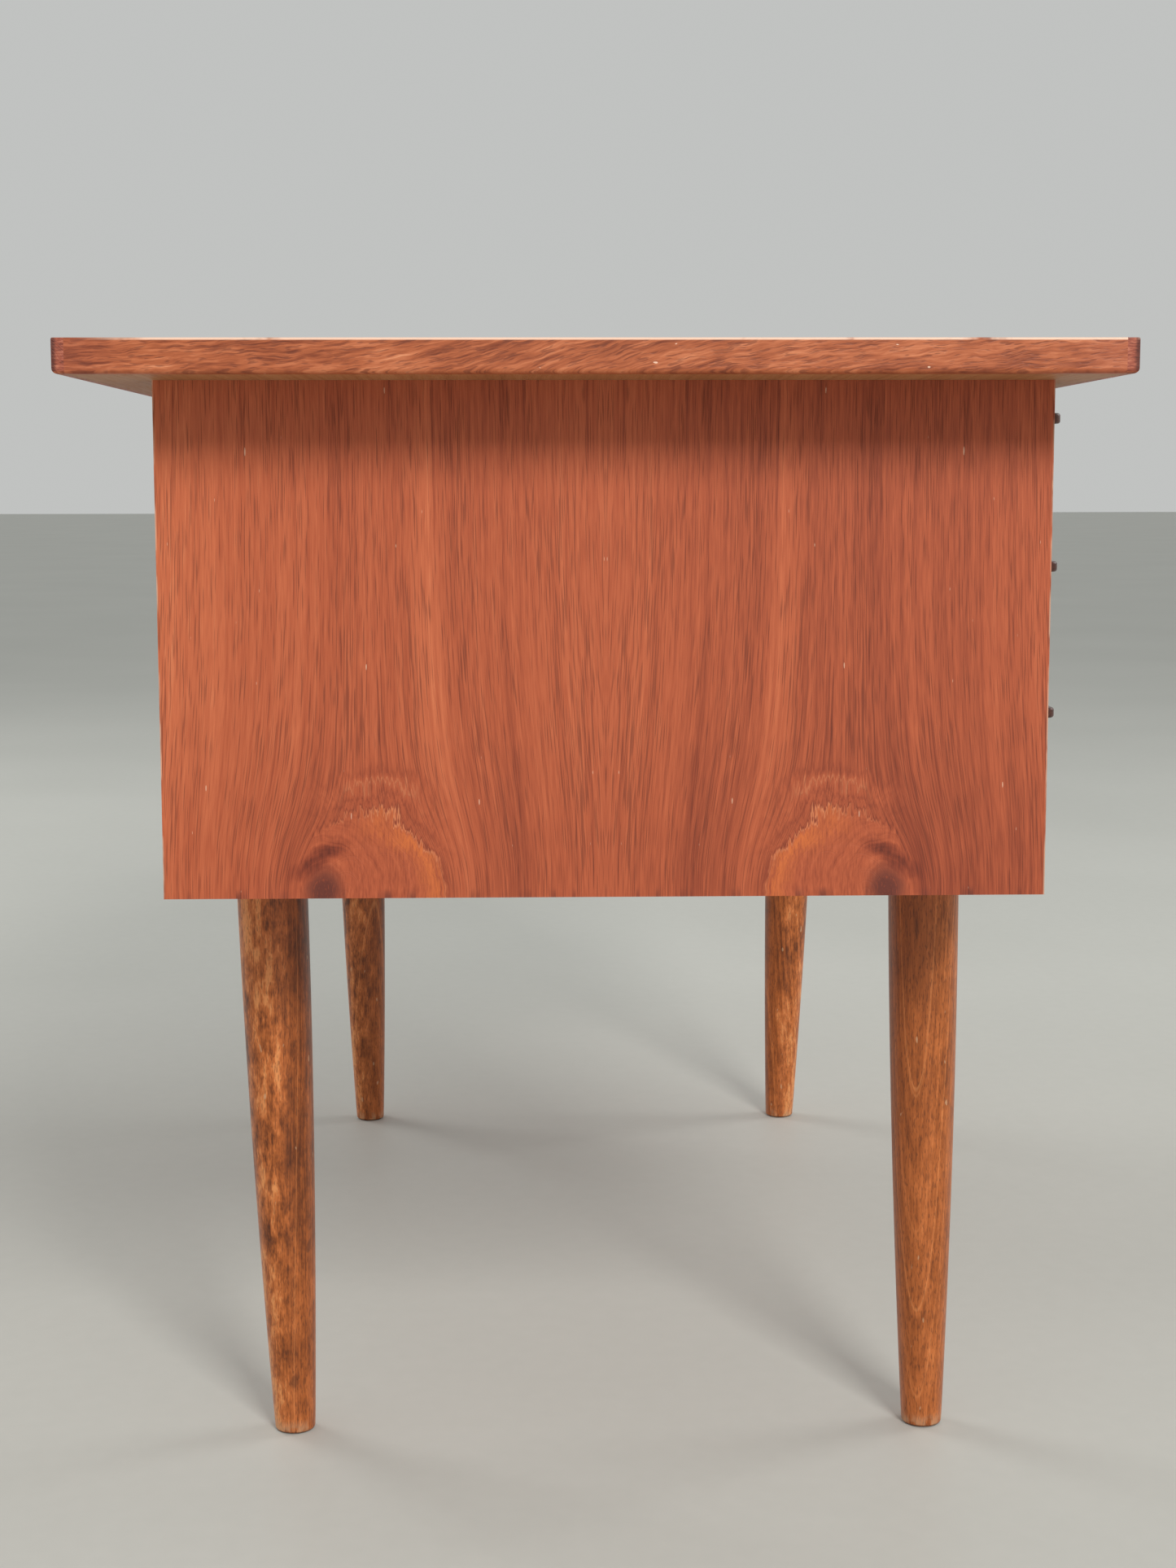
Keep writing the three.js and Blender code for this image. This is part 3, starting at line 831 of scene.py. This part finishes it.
def pull(drawer, material):
    """The lip pull, its nose and rounded corners softened above and below."""
    low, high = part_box(f"{drawer}_pull")
    profile = []
    for i in range(PULL_ROUND_STEPS + 1):
        angle = i / PULL_ROUND_STEPS * math.pi / 2
        inset = PULL_ROUND * (1 - math.sin(angle))
        rise = PULL_ROUND * (1 - math.cos(angle))
        profile.append((inset, low.z + rise))
    profile += [(inset, high.z + low.z - z) for inset, z in reversed(profile)]
    corners = ((low.x + PULL_CORNER, math.pi), (high.x - PULL_CORNER, 1.5 * math.pi))
    rings = []
    for inset, z in profile:
        corner = PULL_CORNER - inset
        ring = [(low.x + inset, high.y, z)]
        for centre_x, start_angle in corners:
            for k in range(PULL_CORNER_STEPS + 1):
                angle = start_angle + k / PULL_CORNER_STEPS * math.pi / 2
                ring.append((
                    centre_x + corner * math.cos(angle),
                    low.y + PULL_CORNER + corner * math.sin(angle),
                    z,
                ))
        ring.append((high.x - inset, high.y, z))
        rings.append(ring)
    vertices, faces = skin(rings)
    piece = new_piece(f"{drawer}_lip_pull", vertices, faces, material, 40)
    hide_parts(f"{drawer}_pull")
    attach(piece, drawer)


# ---------------------------------------------------------------- stage, light, camera

FLOOR_REACH = 60.0
LIGHT_TARGET = (0.0, 0.0, 0.5)
WORLD_COLOUR = (0.56, 0.57, 0.56, 1.0)
WORLD_STRENGTH = 0.95
WARM_WHITE = (1.0, 0.98, 0.95)
WHITE = (1.0, 1.0, 1.0)


def stage():
    """A plain floor that runs out of sight."""
    signs = ((-1, -1), (1, -1), (1, 1), (-1, 1))
    corners = [(x * FLOOR_REACH, y * FLOOR_REACH, 0) for x, y in signs]
    mesh = bpy.data.meshes.new("stage_floor")
    mesh.from_pydata(corners, [], [(0, 1, 2, 3)])
    mesh.materials.append(stage_floor_material())
    floor = bpy.data.objects.new("stage_floor", mesh)
    bpy.context.scene.collection.objects.link(floor)


def softbox(name, place, size, watts, colour):
    """A square lamp that faces the desk."""
    data = bpy.data.lights.new(name, "AREA")
    data.shape = "SQUARE"
    data.size = size
    data.energy = watts
    data.color = colour
    lamp = bpy.data.objects.new(name, data)
    lamp.location = place
    aim = Vector(LIGHT_TARGET) - Vector(place)
    lamp.rotation_euler = aim.to_track_quat("-Z", "Y").to_euler()
    bpy.context.scene.collection.objects.link(lamp)


def light():
    """An even pale surround, a soft key light and two weaker fills."""
    world = bpy.data.worlds.new("studio")
    world.use_nodes = True
    background = world.node_tree.nodes["Background"]
    background.inputs["Color"].default_value = WORLD_COLOUR
    background.inputs["Strength"].default_value = WORLD_STRENGTH
    bpy.context.scene.world = world
    softbox("key", (-4.6, -1.5, 3.2), 1.3, 170.0, WARM_WHITE)
    softbox("fill_front", (1.2, -4.2, 2.6), 2.0, 60.0, WHITE)
    softbox("fill_back", (2.6, 3.4, 2.8), 2.0, 60.0, WHITE)


# The camera stands CAMERA_BACK from the top's left end and CAMERA_TO_BACK off the desk's middle
# line towards its back. Angles in degrees.
CAMERA_BACK = 1.358
CAMERA_TO_BACK = 0.0384
CAMERA_HEIGHT = 0.6468
CAMERA_PITCH = 7.04
CAMERA_TURN = 1.37
CAMERA_ROLL = 0.09
LENS_MM = 55.1


def camera():
    """Looks along the desk from its left end, a little down and a little towards its front."""
    data = bpy.data.cameras.new("camera")
    data.sensor_fit = "VERTICAL"
    data.sensor_height = 36.0
    data.lens = LENS_MM
    eye = bpy.data.objects.new("camera", data)
    eye.location = (cad_low.x - CAMERA_BACK, CAMERA_TO_BACK, CAMERA_HEIGHT)
    eye.rotation_mode = "XYZ"
    eye.rotation_euler = (
        math.radians(90 - CAMERA_PITCH),
        math.radians(CAMERA_ROLL),
        math.radians(-90 - CAMERA_TURN),
    )
    bpy.context.scene.collection.objects.link(eye)
    bpy.context.scene.camera = eye


camera()
light()
stage()
dress_top()
dress_pedestals()
dress_drawers()
for leg_name in LEGS:
    leg(leg_name)
dark_teak = pull_teak("teak_pull")
for drawer_name in DRAWERS:
    pull(drawer_name, dark_teak)
steel = bolt_steel("steel_bolt")
for leg_name in LEGS:
    dress(f"{leg_name}_leg_bolt", steel)

bpy.context.scene.view_settings.view_transform = "Standard"
